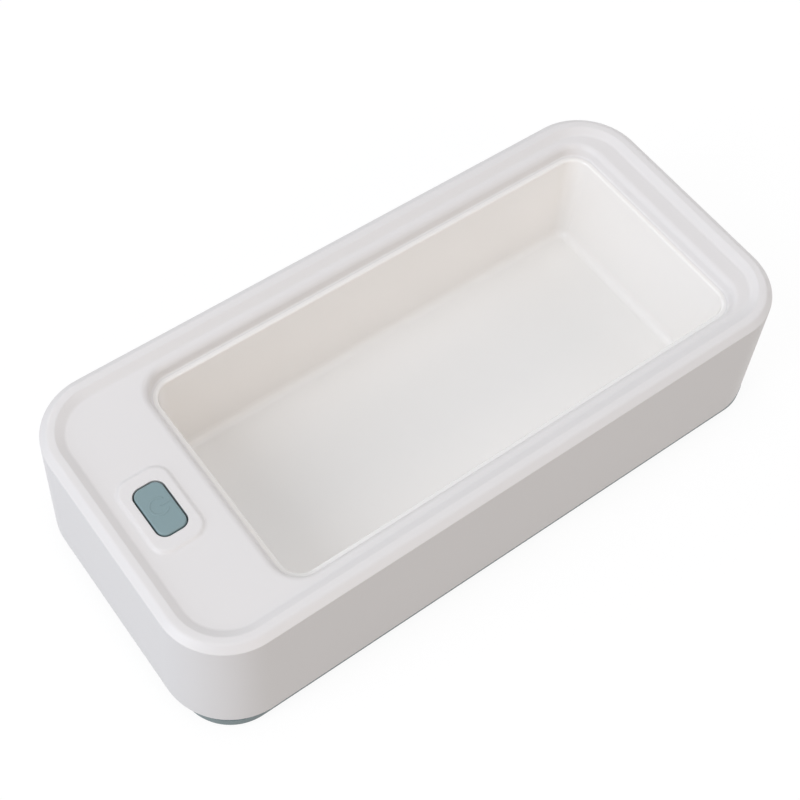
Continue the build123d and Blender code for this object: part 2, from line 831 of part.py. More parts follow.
# Power transistor, screwed to a finned heat sink that stands on the board
sink_front = heat_sink_y + heat_sink_plate / 2
screw_axis_z = board_top + transistor_hole_height
with BuildPart() as heat_sink:
    with Locations((board_x, heat_sink_y, board_top)):
        Box(heat_sink_width, heat_sink_plate, heat_sink_height, align=centred_low)
    fin_y = heat_sink_y - (heat_sink_plate + fin_length) / 2
    fin_pitch = (heat_sink_width - fin_thickness) / (fin_count - 1)
    with Locations((board_x, fin_y, board_top)):
        with GridLocations(fin_pitch, 0, fin_count, 1):
            Box(fin_thickness, fin_length, heat_sink_height, align=centred_low)
    with Locations((board_x, heat_sink_y, screw_axis_z)):
        Cylinder(
            transistor_screw_diameter / 2, heat_sink_plate, rotation=(90, 0, 0), mode=Mode.SUBTRACT
        )
save(heat_sink.part, "heat_sink")

with BuildPart() as power_transistor:
    with Locations((board_x, sink_front + transistor_tab / 2, board_top)):
        Box(transistor_width, transistor_tab, transistor_tab_height, align=centred_low)
    with Locations((board_x, sink_front + transistor_body / 2, board_top)):
        Box(transistor_width, transistor_body, transistor_body_height, align=centred_low)
    with Locations((board_x, sink_front + transistor_tab / 2, screw_axis_z)):
        Cylinder(
            (transistor_screw_diameter + screw_clearance) / 2,
            transistor_tab,
            rotation=(90, 0, 0),
            mode=Mode.SUBTRACT,
        )
save(power_transistor.part, "power_transistor")

transistor_screw_part = pan_screw(
    transistor_screw_head_diameter,
    transistor_screw_head_height,
    transistor_screw_diameter,
    transistor_tab + heat_sink_plate,
)
with BuildPart() as transistor_screw:
    with Locations(Location((board_x, sink_front + transistor_tab, screw_axis_z), (-90, 0, 0))):
        add(transistor_screw_part)
save(transistor_screw.part, "transistor_screw")

# Headers for the leads
with BuildPart() as lead_connectors:
    with Locations(
        (board_x + transducer_connector_x, transducer_connector_y, board_top),
        (board_x + button_connector_x, front_row_y, board_top),
    ):
        Box(connector_width, connector_length, connector_height, align=centred_low)
save(lead_connectors.part, "lead_connectors")

# Transducer under the middle of the tank
plate_bottom = tank_underside - plate_thickness
disc_bottom = plate_bottom - disc_thickness
with BuildPart() as coupling_plate:
    extrude(discs(plate_bottom, plate_diameter, [(opening_x, 0)]), amount=plate_thickness)
save(coupling_plate.part, "coupling_plate")

with BuildPart() as transducer_disc:
    extrude(discs(disc_bottom, disc_diameter, [(opening_x, 0)]), amount=disc_thickness)
    fillet(faces().sort_by(Axis.Z)[0].edges(), disc_round)
save(transducer_disc.part, "transducer_disc")

solder_z = inner_floor + solder_bottom
live_solder = (opening_x + live_solder_x, 0, solder_z)
return_solder = (opening_x + return_solder_x, return_solder_y, solder_z)
with BuildPart() as solder_joints:
    with Locations(live_solder):
        Box(solder_size, solder_size, disc_bottom - solder_z, align=centred_low)
    with Locations(return_solder):
        Box(solder_size, solder_size, plate_bottom - solder_z, align=centred_low)
save(solder_joints.part, "solder_joints")

# Leads from the main board, down beside its edge and along the floor to the solder joints
lead_start_x = board_x + transducer_connector_x + connector_width / 2
lead_drop_x = board_x + main_board_width / 2 + lead_bay_gap
lead_start_z = board_top + lead_exit_height
lead_run_z = inner_floor + lead_run_height
for name, side, joint in (("live", 1, live_solder), ("return", -1, return_solder)):
    start_y = transducer_connector_y + side * lead_pitch / 2
    end_point_x = joint[0] - solder_size / 2
    run_length = end_point_x - lead_drop_x
    points = [
        (lead_start_x, start_y, lead_start_z),
        (lead_drop_x, start_y, lead_start_z),
        (lead_drop_x, start_y, lead_run_z),
        (lead_drop_x + lead_turn_start * run_length, start_y, lead_run_z),
        (lead_drop_x + lead_turn_end * run_length, joint[1], lead_run_z),
        (end_point_x, joint[1], lead_run_z),
    ]
    save(lead(points), f"transducer_lead_{name}")

# Two leads from the switch board down to the main board
with BuildPart() as button_leads:
    connector_top = board_top + connector_height
    for side in (-1, 1):
        low_x = board_x + button_connector_x + side * lead_pitch / 2
        high_x = button_x + button_lead_x + side * lead_pitch / 2
        add(
            lead(
                [
                    (high_x, button_lead_y, switch_board_bottom),
                    (high_x, button_lead_y, switch_board_bottom - button_lead_drop),
                    (low_x, front_row_y, connector_top + button_lead_rise),
                    (low_x, front_row_y, connector_top),
                ]
            )
        )
save(button_leads.part, "button_leads")
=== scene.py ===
import json
import math

import bmesh
import bpy
from mathutils import Matrix, Vector

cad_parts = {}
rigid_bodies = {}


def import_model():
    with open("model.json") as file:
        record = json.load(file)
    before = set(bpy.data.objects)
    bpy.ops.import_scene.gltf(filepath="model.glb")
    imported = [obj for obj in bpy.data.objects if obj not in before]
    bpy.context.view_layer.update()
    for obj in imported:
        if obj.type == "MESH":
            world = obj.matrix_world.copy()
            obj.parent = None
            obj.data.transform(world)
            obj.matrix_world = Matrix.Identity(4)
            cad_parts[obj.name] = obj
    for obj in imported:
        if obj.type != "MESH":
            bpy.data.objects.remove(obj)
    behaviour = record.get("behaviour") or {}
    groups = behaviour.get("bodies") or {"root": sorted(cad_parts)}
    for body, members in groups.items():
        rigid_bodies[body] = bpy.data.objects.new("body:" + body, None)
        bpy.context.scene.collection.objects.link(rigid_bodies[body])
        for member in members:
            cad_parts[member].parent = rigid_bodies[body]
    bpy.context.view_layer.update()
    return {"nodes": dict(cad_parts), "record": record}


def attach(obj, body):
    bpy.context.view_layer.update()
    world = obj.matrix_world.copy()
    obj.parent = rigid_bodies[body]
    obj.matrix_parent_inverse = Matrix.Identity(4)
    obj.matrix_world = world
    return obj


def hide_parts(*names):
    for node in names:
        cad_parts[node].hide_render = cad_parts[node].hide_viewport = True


for leftover in list(bpy.data.objects):  # Blender's own start-up objects
    bpy.data.objects.remove(leftover)
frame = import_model()
scene = bpy.context.scene
mm = 0.001
print("frame loaded with", len(frame["nodes"]), "nodes")

# Heights that several pieces share, in millimetres above the table
level = {
    "baseBottom": 1.2,
    "innerFloor": 3.2,
    "housingBottom": 5.2,
    "tankUnderside": 7.5,
    "tankFloor": 9.5,
    "shelf": 47.0,
    "deckUnderside": 48.9,
    "deck": 51.4,
    "padTop": 52.2,
    "capTop": 52.4,
    "rim": 53.2,
}
# Rounded outlines seen from above: length, width, corner radius and middle along X
outline = {
    "housing": (230.0, 105.4, 21.8, 0.0),
    "opening": (179.4, 84.4, 9.5, 11.0),
    "base": (227.82, 106.52, 17.3, 0.0),
    "pad": (16.4, 26.8, 4.5, -95.8),
    "buttonHole": (10.6, 18.6, 3.4, -95.8),
    "button": (9.6, 17.6, 2.9, -95.8),
}
draft = math.radians(1.74)  # the housing's walls spread by this towards the table
overlap = 0.5  # how far solids run into each other before they are joined
overcut = 1.0  # how far a cutter reaches past the face that it opens
weld = 1e-6  # points closer than this, in metres, are one point


# Materials
def fromHex(code):  # sRGB hex to linear colour
    channels = [int(code[i:i + 2], 16) / 255 for i in (1, 3, 5)]
    return [c / 12.92 if c <= 0.04045 else ((c + 0.055) / 1.055) ** 2.4 for c in channels] + [1.0]


def addNode(tree, kind, values=None, links=None, **settings):
    node = tree.nodes.new(kind)
    for name, value in settings.items():
        setattr(node, name, value)
    for key, value in (values or {}).items():
        node.inputs[key].default_value = value
    for key, source in (links or {}).items():
        tree.links.new(source, node.inputs[key])
    return node


# A finish with fine grain in its relief and roughness, and a faint drift of tone across the piece
def grainyFinish(
    name, tone, rough, grain, relief, drift=0.02, reach=45.0, stretch=(1, 1, 1), swing=0.05, **shader
):
    material = bpy.data.materials.new(name)
    material.use_nodes = True
    tree = material.node_tree
    tree.nodes.clear()
    place = addNode(tree, "ShaderNodeTexCoord").outputs["Object"]
    turned = addNode(tree, "ShaderNodeMapping", {"Scale": stretch}, {"Vector": place}).outputs[0]
    fine = addNode(
        tree, "ShaderNodeTexNoise", {"Scale": 1 / (grain * mm), "Detail": 2.0}, {"Vector": turned}
    ).outputs["Fac"]
    broad = addNode(
        tree, "ShaderNodeTexNoise", {"Scale": 1 / (reach * mm), "Detail": 3.0}, {"Vector": place}
    ).outputs["Fac"]
    base = fromHex(tone)
    low = [c * (1 - drift) for c in base[:3]] + [1.0]
    high = [min(1.0, c * (1 + drift)) for c in base[:3]] + [1.0]
    colour = addNode(tree, "ShaderNodeMix", {}, {"Factor": broad}, data_type="RGBA")
    colour.inputs[6].default_value, colour.inputs[7].default_value = low, high  # its two colour inputs
    roughness = addNode(
        tree, "ShaderNodeMapRange", {"To Min": rough - swing, "To Max": rough + swing}, {"Value": fine}
    )
    bump = addNode(
        tree, "ShaderNodeBump", {"Strength": relief, "Distance": grain * mm * 0.1}, {"Height": fine}
    )
    surface = addNode(
        tree,
        "ShaderNodeBsdfPrincipled",
        shader,
        {"Base Color": colour.outputs[2], "Roughness": roughness.outputs[0], "Normal": bump.outputs[0]},
    )
    addNode(tree, "ShaderNodeOutputMaterial", {}, {"Surface": surface.outputs[0]})
    return material


# The real spark-eroded texture is about 0.1 mm: it is drawn at 0.5 mm, so that it shows at all
satinWhiteAbs = grainyFinish("satinWhiteAbs", "#DFDDDC", 0.42, 0.5, 0.10, 0.010, IOR=1.53)
# The tub comes from a polished mould: tighter highlights than the housing
polishedWhiteAbs = grainyFinish(
    "polishedWhiteAbs", "#F0EEEB", 0.20, 2.0, 0.01, 0.006, swing=0.01, IOR=1.53
)
# Tinted through, with the same satin texture as the housing
satinBlueGreyAbs = grainyFinish("satinBlueGreyAbs", "#6E7E80", 0.45, 0.5, 0.12, 0.015, IOR=1.53)
satinPaleTealAbs = grainyFinish("satinPaleTealAbs", "#7D9498", 0.40, 0.5, 0.10, 0.015, IOR=1.53)
finishBySlot = {
    "shell_white": satinWhiteAbs,
    "tank_white": polishedWhiteAbs,
    "base_blue_grey": satinBlueGreyAbs,
    "button_blue_grey": satinPaleTealAbs,
    # Moulded silicone: soft, slightly dusty sheen
    "silicone": grainyFinish("mouldedSilicone", "#B9BEC0", 0.60, 0.8, 0.08, 0.03),
    # Moulded rubber: dark and matte, with a fine pebble
    "foot_rubber": grainyFinish("mouldedRubber", "#33363A", 0.78, 0.7, 0.35, 0.06),
    # Zinc-plated steel: faint cloudy streaks from the plating bath
    "steel": grainyFinish("zincPlatedSteel", "#B9BAC0", 0.30, 0.4, 0.10, 0.06, 3.0, Metallic=1.0),
    # Rolled stainless steel: hairlines one way
    "stainless": grainyFinish(
        "rolledStainless", "#C4C4C3", 0.28, 0.3, 0.15, 0.04, 20.0, (1, 14, 1), Metallic=1.0
    ),
    # Solder mask over woven glass laminate
    "circuit_board": grainyFinish("solderMaskLaminate", "#1C5A38", 0.33, 1.2, 0.15, 0.18, 2.5),
    "black_plastic": grainyFinish("mouldedBlackNylon", "#222325", 0.50, 0.4, 0.15, 0.05, 8.0),
    # Unfilled nylon: milky and slightly waxy
    "connector_white": grainyFinish("naturalNylon", "#E4E0D2", 0.40, 0.4, 0.06, 0.02, 8.0),
    # Sintered and ground ferrite: near black, with pits
    "ferrite": grainyFinish("sinteredFerrite", "#35363A", 0.62, 0.35, 0.40, 0.12, 4.0),
    # Enamelled copper wire: orange metal under clear varnish
    "copper_wire": grainyFinish(
        "enamelledCopper", "#C06B3A", 0.28, 0.3, 0.08, 0.05, 3.0, Metallic=1.0,
        **{"Coat Weight": 0.6, "Coat Roughness": 0.12}
    ),
    # Shrunk PVC sleeve: glossy, with slight waviness
    "capacitor_sleeve": grainyFinish("shrunkSleeve", "#262F45", 0.22, 1.5, 0.06, 0.05, 5.0),
    # Potted film box: smooth resin
    "film_box": grainyFinish("pottedBox", "#B4432E", 0.30, 1.0, 0.05, 0.05, 5.0),
    # Extruded aluminium: drawn lines along the extrusion
    "heat_sink_metal": grainyFinish(
        "extrudedAluminium", "#BFC1C4", 0.36, 0.3, 0.20, 0.05, 6.0, (14, 14, 1), Metallic=1.0
    ),
    # Tin-plated brass contacts
    "contact_metal": grainyFinish("platedBrass", "#D8BE7C", 0.25, 0.3, 0.06, 0.05, 3.0, Metallic=1.0),
    # Carbon-loaded rubber pill
    "carbon": grainyFinish("carbonRubber", "#222222", 0.80, 0.3, 0.25, 0.10, 1.0),
    # Fired silver over piezo ceramic: matte and pale
    "piezo_ceramic": grainyFinish("silveredCeramic", "#D3CDBD", 0.50, 0.4, 0.20, 0.05, 6.0),
    # Hand-made tin joints: bright and uneven
    "solder": grainyFinish("tinSolder", "#C6C8CA", 0.20, 1.0, 0.40, 0.08, 1.5, Metallic=1.0),
    # PVC-insulated leads
    "lead_red": grainyFinish("redPvc", "#B52A22", 0.35, 0.6, 0.06, 0.04, 6.0),
    "lead_black": grainyFinish("blackPvc", "#26262A", 0.35, 0.6, 0.06, 0.04, 6.0),
    "lead_white": grainyFinish("whitePvc", "#DEDEDA", 0.35, 0.6, 0.06, 0.02, 6.0),
}
slotOfNode = {row["node"]: row["material_slot"] for row in frame["record"]["subparts"]}
for nodeName, node in frame["nodes"].items():
    node.data.materials.clear()
    node.data.materials.append(finishBySlot[slotOfNode[nodeName]])
print("finishes made:", len(finishBySlot))


# Shapes

# A section drawn from corners (outset from the outline, height, round). Each round becomes an arc with
# a short straight on both sides, so that flat faces stay flat under smooth shading.
def sectionPoints(corners, turnStep=11.0, straight=0.12, leastStraight=0.01):
    spots = [Vector(corner[:2]) for corner in corners]
    reach, turns = [0.0] * len(spots), [0.0] * len(spots)
    for i in range(1, len(spots) - 1):
        if corners[i][2]:
            turns[i] = (spots[i] - spots[i - 1]).angle(spots[i + 1] - spots[i])
            reach[i] = corners[i][2] * math.tan(turns[i] / 2)
    points = [spots[0]]
    for i in range(1, len(spots) - 1):
        if not corners[i][2]:
            points.append(spots[i])
            continue
        back, on = spots[i - 1] - spots[i], spots[i + 1] - spots[i]
        spareBack = (back.length - reach[i] - reach[i - 1]) / 3  # room for the straight
        spareOn = (on.length - reach[i] - reach[i + 1]) / 3
        start, end = back.normalized() * reach[i], on.normalized() * reach[i]
        centre = (start + end).normalized() * corners[i][2] / math.cos(turns[i] / 2)
        if spareBack > leastStraight:
            points.append(spots[i] + start + back.normalized() * min(straight, spareBack))
        count = max(3, round(math.degrees(turns[i]) / turnStep))
        for k in range(count + 1):
            arm = (start - centre).slerp(end - centre, k / count) * corners[i][2]
            points.append(spots[i] + centre + arm)
        if spareOn > leastStraight:
            points.append(spots[i] + end + on.normalized() * min(straight, spareOn))
    return points + [spots[-1]]


def sectionCurve(name, corners, **options):
    curve = bpy.data.curves.new(name, "CURVE")
    curve.dimensions = "3D"
    points = sectionPoints(corners, **options)
    spline = curve.splines.new("POLY")
    spline.points.add(len(points) - 1)
    for spot, point in zip(points, spline.points):
        point.co = (spot.x * mm, -spot.y * mm, 0, 1)  # the sweep turns a section over
    holder = bpy.data.objects.new(name, curve)
    scene.collection.objects.link(holder)
    return holder


def newTree(name, sockets):
    tree = bpy.data.node_groups.new(name, "GeometryNodeTree")
    tree.interface.new_socket("Mesh", in_out="OUTPUT", socket_type="NodeSocketGeometry")
    for label, kind in sockets.items():
        tree.interface.new_socket(label, in_out="INPUT", socket_type="NodeSocket" + kind)
    return tree


# Every tree ends the same way: instances made real and the finish set
def endTree(tree, geometry, finish):
    real = addNode(tree, "GeometryNodeRealizeInstances", links={"Geometry": geometry})
    painted = addNode(
        tree, "GeometryNodeSetMaterial", links={"Geometry": real.outputs[0], "Material": finish}
    )
    addNode(tree, "NodeGroupOutput", links={"Mesh": painted.outputs[0]})


# Sweeps a section round a rounded rectangle that lies flat
sweepTree = newTree(
    "sweepRoundOutline",
    {
        "Length": "Float", "Width": "Float", "Corner Radius": "Float", "Corner Steps": "Int",
        "Middle X": "Float", "Section": "Object", "Finish": "Material",
    },
)
sweepIn = addNode(sweepTree, "NodeGroupInput").outputs
rectangle = addNode(
    sweepTree,
    "GeometryNodeCurvePrimitiveQuadrilateral",
    links={"Width": sweepIn["Length"], "Height": sweepIn["Width"]},
)
rounded = addNode(
    sweepTree,
    "GeometryNodeFilletCurve",
    links={
        "Curve": rectangle.outputs[0],
        "Count": sweepIn["Corner Steps"],
        "Radius": sweepIn["Corner Radius"],
    },
    mode="POLY",
)
upright = addNode(
    sweepTree, "GeometryNodeSetCurveNormal", links={"Curve": rounded.outputs[0]}, mode="Z_UP"
)
drawn = addNode(sweepTree, "GeometryNodeObjectInfo", links={"Object": sweepIn["Section"]})
swept = addNode(
    sweepTree,
    "GeometryNodeCurveToMesh",
    links={"Curve": upright.outputs[0], "Profile Curve": drawn.outputs["Geometry"]},
)
shift = addNode(sweepTree, "ShaderNodeCombineXYZ", links={"X": sweepIn["Middle X"]})
placed = addNode(
    sweepTree,
    "GeometryNodeTransform",
    links={"Geometry": swept.outputs[0], "Translation": shift.outputs[0]},
)
endTree(sweepTree, placed.outputs[0], sweepIn["Finish"])

# Turns a section round an upright axis and sets a copy of it on every place
turnedTree = newTree(
    "turnedCopies",
    {"Places": "Object", "Section": "Object", "Radius": "Float", "Steps": "Int", "Finish": "Material"},
)
turnedIn = addNode(turnedTree, "NodeGroupInput").outputs
ring = addNode(
    turnedTree,
    "GeometryNodeCurvePrimitiveCircle",
    links={"Resolution": turnedIn["Steps"], "Radius": turnedIn["Radius"]},
)
ringUp = addNode(
    turnedTree, "GeometryNodeSetCurveNormal", links={"Curve": ring.outputs[0]}, mode="Z_UP"
)
drawn = addNode(turnedTree, "GeometryNodeObjectInfo", links={"Object": turnedIn["Section"]})
turned = addNode(
    turnedTree,
    "GeometryNodeCurveToMesh",
    links={"Curve": ringUp.outputs[0], "Profile Curve": drawn.outputs["Geometry"]},
)
sealed = addNode(
    turnedTree, "GeometryNodeMergeByDistance", {"Distance": weld}, {"Geometry": turned.outputs[0]}
)
spots = addNode(turnedTree, "GeometryNodeObjectInfo", links={"Object": turnedIn["Places"]})
copies = addNode(
    turnedTree,
    "GeometryNodeInstanceOnPoints",
    links={"Points": spots.outputs["Geometry"], "Instance": sealed.outputs[0]},
)
endTree(turnedTree, copies.outputs[0], turnedIn["Finish"])


# Runs a tree on an empty mesh and keeps the result as a plain mesh
def runTree(tree, name, values):
    holder = bpy.data.objects.new(name, bpy.data.meshes.new(name))
    scene.collection.objects.link(holder)
    modifier = holder.modifiers.new(tree.name, "NODES")
    modifier.node_group = tree
    for socket in tree.interface.items_tree:
        if socket.in_out == "INPUT":
            modifier[socket.identifier] = values[socket.name]
    made = bpy.data.meshes.new_from_object(holder.evaluated_get(bpy.context.evaluated_depsgraph_get()))
    bpy.data.objects.remove(holder)
    return made


def sweep(name, shape, corners, finish, steps=20, **options):
    length, width, radius, middle = shape
    drawing = sectionCurve(name + "Section", corners, **options)
    made = runTree(
        sweepTree,
        name,
        {
            "Length": length * mm, "Width": width * mm, "Corner Radius": radius * mm,
            "Corner Steps": steps, "Middle X": middle * mm, "Section": drawing, "Finish": finish,
        },
    )
    bpy.data.objects.remove(drawing)
    return made


# Round parts: the corners give radius, height and round
def turnedAt(name, places, corners, finish, steps=32, **options):
    points = bpy.data.meshes.new(name + "Places")
    points.from_pydata([[x * mm, y * mm, 0] for x, y in places], [], [])
    spots = bpy.data.objects.new(name + "Places", points)
    scene.collection.objects.link(spots)
    radius = max(corner[0] for corner in corners)
    inward = [(r - radius, z, turn) for r, z, turn in corners]  # the ring is the outermost circle
    drawing = sectionCurve(name + "Section", inward, **options)
    made = runTree(
        turnedTree,
        name,
        {"Places": spots, "Section": drawing, "Radius": radius * mm, "Steps": steps, "Finish": finish},
    )
    bpy.data.objects.remove(drawing)
    bpy.data.objects.remove(spots)
    return made


# Joining, filling and cutting

# Puts meshes together, fills the flat gaps that they leave at the given heights, and smooths the result
def assemble(name, meshes, fillAt=(), sharpAngle=35.0):
    bm = bmesh.new()
    for mesh in meshes:
        bm.from_mesh(mesh)
    bmesh.ops.remove_doubles(bm, verts=bm.verts, dist=weld)
    for height in fillAt:
        rims = [
            edge for edge in bm.edges
            if edge.is_boundary and all(abs(vert.co.z - height * mm) < weld for vert in edge.verts)
        ]
        bmesh.ops.triangle_fill(bm, use_beauty=True, use_dissolve=False, edges=rims)
    bmesh.ops.recalc_face_normals(bm, faces=bm.faces)
    openEdges = sum(edge.is_boundary for edge in bm.edges)
    made = bpy.data.meshes.new(name)
    for face in bm.faces:
        face.material_index = 0
    bm.to_mesh(made)
    bm.free()
    made.materials.append(meshes[0].materials[-1])  # copies have an empty slot before their finish
    piece = bpy.data.objects.new(name, made)
    scene.collection.objects.link(piece)
    smooth(piece, sharpAngle)
    print(name, "assembled:", len(made.polygons), "faces,", openEdges, "open edges")
    return piece


def smooth(piece, sharpAngle):
    piece.data.polygons.foreach_set("use_smooth", [True] * len(piece.data.polygons))
    piece.data.set_sharp_from_angle(angle=math.radians(sharpAngle))


# Adds a solid to a piece, or cuts it out, and keeps the result as the piece's mesh
def combine(piece, tool, operation, sharpAngle=35.0):
    bpy.context.view_layer.update()
    modifier = piece.modifiers.new(operation.lower(), "BOOLEAN")
    modifier.operation, modifier.object, modifier.solver = operation, tool, "EXACT"
    graph = bpy.context.evaluated_depsgraph_get()
    made = bpy.data.meshes.new_from_object(piece.evaluated_get(graph))
    piece.modifiers.clear()
    finish = piece.data.materials[0]
    piece.data = made
    made.materials.clear()
    made.materials.append(finish)
    bpy.data.objects.remove(tool)
    smooth(piece, sharpAngle)


def spread(height):  # how far the drafted walls have spread at a height
    return (level["rim"] - height) * math.tan(draft)


def finishPiece(piece, body, slot, *nodes):
    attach(piece, body)
    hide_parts(*nodes)


# Upper housing
housing = {
    "wall": 2.5,
    "bevelWidth": 2.3,
    "bevelDrop": 1.8,
    "bevelTopRound": 1.7,
    "bevelFootRound": 0.45,
    "bottomRound": 0.5,
    "rimWidth": 4.7,
    "rimSlope": 2.8,
    "slopeTopRound": 1.0,
    "slopeFootRound": 1.6,
    "openingRound": 2.4,
    "openingLean": 0.8,
    "openingFootRound": 0.8,  # small cove where the opening's wall meets the tank's shelf
    "skirt": 2.4,
    "padFoot": 0.75,
    "padEdge": -0.2,
    "padRound": 1.4,
    "padMargin": 0.8,
    "holeRound": 0.2,
    "holeMargin": 0.5,
    "shelfLap": 0.01,  # the shelf runs this far past the cove before it turns back
    "fillMargin": 0.1,  # flat strip left at each edge that a fill meets
}
margin = housing["fillMargin"]
slopeFoot = spread(level["deck"]) - housing["rimWidth"] - housing["rimSlope"]
slopeTurn = math.atan2(level["rim"] - level["deck"], -housing["rimWidth"] - slopeFoot)
slopeReach = housing["slopeFootRound"] * math.tan(slopeTurn / 2)
openingTurn = math.atan2(level["deck"] - level["shelf"], housing["openingLean"])
openingReach = housing["openingRound"] * math.tan(openingTurn / 2)
coveReach = housing["openingFootRound"] * math.tan(openingTurn / 2)
bevelFoot = level["rim"] - housing["bevelDrop"]
innerFoot = spread(level["housingBottom"]) - housing["wall"]
innerTop = spread(level["deckUnderside"]) - housing["wall"]
shellSweep = sweep(
    "shell",
    outline["housing"],
    [
        (slopeFoot - slopeReach - margin, level["deck"], 0),
        (slopeFoot, level["deck"], housing["slopeFootRound"]),
        (-housing["rimWidth"], level["rim"], housing["slopeTopRound"]),
        (-housing["bevelWidth"], level["rim"], housing["bevelTopRound"]),
        (spread(bevelFoot), bevelFoot, housing["bevelFootRound"]),
        (spread(level["housingBottom"]), level["housingBottom"], housing["bottomRound"]),
        (innerFoot, level["housingBottom"], 0),
        (innerTop, level["deckUnderside"], 0),
        (innerTop - margin, level["deckUnderside"], 0),
    ],
    satinWhiteAbs,
    steps=28,
)
openingSweep = sweep(
    "opening",
    outline["opening"],
    [
        (openingReach + margin, level["deck"], 0),
        (0, level["deck"], housing["openingRound"]),
        (-housing["openingLean"], level["shelf"], housing["openingFootRound"]),
        (-housing["openingLean"] - coveReach - housing["shelfLap"], level["shelf"], 0),
        (housing["skirt"], level["shelf"], 0),
        (housing["skirt"], level["deckUnderside"], 0),
        (housing["skirt"] + margin, level["deckUnderside"], 0),
    ],
    satinWhiteAbs,
    steps=20,
)
padSweep = sweep(
    "pad",
    outline["pad"],
    [
        (housing["padFoot"] + housing["padMargin"], level["deck"], 0),
        (housing["padFoot"], level["deck"], housing["padRound"]),
        (housing["padEdge"], level["padTop"], housing["padRound"]),
        (housing["padEdge"] - housing["padMargin"], level["padTop"], 0),
    ],
    satinWhiteAbs,
    steps=14,
)
holeSweep = sweep(
    "buttonHole",
    outline["buttonHole"],
    [
        (housing["holeMargin"], level["padTop"], 0),
        (0, level["padTop"], housing["holeRound"]),
        (0, level["deckUnderside"], 0),
        (margin, level["deckUnderside"], 0),
    ],
    satinWhiteAbs,
    steps=14,
)
upperHousing = assemble(
    "upperHousing",
    [shellSweep, openingSweep, padSweep, holeSweep],
    fillAt=(level["deck"], level["padTop"], level["deckUnderside"]),
)

# Bosses under the deck: long ones with ribs for the base, short ones for the tank and the switch board
bosses = {
    "baseX": 108.2,
    "baseY": 24.0,
    "sideX": 15.0,
    "sideY": 47.6,
    "baseRadius": 3.5,
    "baseSeat": 8.0,
    "baseTop": 40.0,
    "ribThickness": 2.4,
    "tankPitch": 61.0,
    "tankReach": 4.7,
    "tankRadius": 2.5,
    "switchSpread": 31.0,
    "switchRadius": 2.75,
    "switchSeat": 43.2,
    "sunk": 0.6,  # how far the short ones run into the deck
}
_, openingWidth, _, openingX = outline["opening"]
buttonX = outline["button"][3]
screwPlaces = [(i * bosses["baseX"], j * bosses["baseY"]) for i in (-1, 1) for j in (-1, 1)]
screwPlaces += [(bosses["sideX"], side * bosses["sideY"]) for side in (-1, 1)]
tankLineX = outline["opening"][0] / 2 + bosses["tankReach"]
tankLineY = openingWidth / 2 + bosses["tankReach"]
tankPlaces = [
    (openingX + step * bosses["tankPitch"], side * tankLineY) for step in (-1, 0, 1) for side in (-1, 1)
] + [(openingX + side * tankLineX, 0) for side in (-1, 1)]
switchPlaces = [(buttonX, side * bosses["switchSpread"] / 2) for side in (-1, 1)]


# A round post from one height to another, with a small round at its lower end
def postSection(radius, low, high, turn=0.3):
    return [(0, low, 0), (radius, low, turn), (radius, high, 0), (0, high, 0)]


def boxMesh(name, low, high, finish):
    bm = bmesh.new()
    bmesh.ops.create_cube(bm, size=1.0)
    size = [h - l for l, h in zip(low, high)]
    middle = [(h + l) / 2 for l, h in zip(low, high)]
    bmesh.ops.scale(bm, vec=[s * mm for s in size], verts=bm.verts)
    bmesh.ops.translate(bm, vec=[m * mm for m in middle], verts=bm.verts)
    made = bpy.data.meshes.new(name)
    bm.to_mesh(made)
    bm.free()
    made.materials.append(finish)
    return made


ribSpread = spread((bosses["baseSeat"] + bosses["baseTop"]) / 2)
ribEndX = outline["housing"][0] / 2 + ribSpread - housing["wall"] / 2
ribEndY = outline["housing"][1] / 2 + ribSpread - housing["wall"] / 2
longSection = postSection(bosses["baseRadius"], bosses["baseSeat"], bosses["baseTop"])
longBosses = [turnedAt("longBosses", screwPlaces, longSection, satinWhiteAbs)]
ribHalf = bosses["ribThickness"] / 2
for x, y in screwPlaces:
    if abs(y) < bosses["sideY"]:
        ends = sorted((x, math.copysign(ribEndX, x)))
        low, high = (ends[0], y - ribHalf), (ends[1], y + ribHalf)
    else:
        ends = sorted((y, math.copysign(ribEndY, y)))
        low, high = (x - ribHalf, ends[0]), (x + ribHalf, ends[1])
    longBosses.append(
        boxMesh("rib", (*low, bosses["baseSeat"]), (*high, bosses["baseTop"]), satinWhiteAbs)
    )
shortTop = level["deckUnderside"] + bosses["sunk"]
tankSection = postSection(bosses["tankRadius"], level["shelf"], shortTop)
switchSection = postSection(bosses["switchRadius"], bosses["switchSeat"], shortTop)
shortBosses = [
    turnedAt("tankBosses", tankPlaces, tankSection, satinWhiteAbs),
    turnedAt("switchBosses", switchPlaces, switchSection, satinWhiteAbs),
]
for extra in longBosses + shortBosses:
    combine(upperHousing, assemble("extra", [extra]), "UNION")

# Inlet hole in the rear wall, with a softened rim
inlet = {
    "x": -89.0,
    "height": 17.3,
    "radius": 4.3,
    "rimRound": 0.4,
    "rimTurn": 0.35,
    "proud": 0.1,
    "reach": 5.0,
}
wallY = outline["housing"][1] / 2 + spread(inlet["height"])
cutter = assemble(
    "inletCutter",
    [
        turnedAt(
            "inletCutter",
            [(0, 0)],
            [
                (0, -inlet["reach"], 0),
                (inlet["radius"], -inlet["reach"], 0),
                (inlet["radius"], -inlet["rimRound"], inlet["rimTurn"]),
                (inlet["radius"] + inlet["rimRound"], inlet["proud"], 0),
                (inlet["radius"] + inlet["rimRound"], inlet["reach"], 0),
                (0, inlet["reach"], 0),
            ],
            satinWhiteAbs,
            steps=64,
        )
    ],
)
cutter.data.transform(
    Matrix.Translation((inlet["x"] * mm, wallY * mm, inlet["height"] * mm))
    @ Matrix.Rotation(math.radians(-90), 4, "X")
)
combine(upperHousing, cutter, "DIFFERENCE")
finishPiece(upperHousing, "housing", "shell_white", "upper_housing")
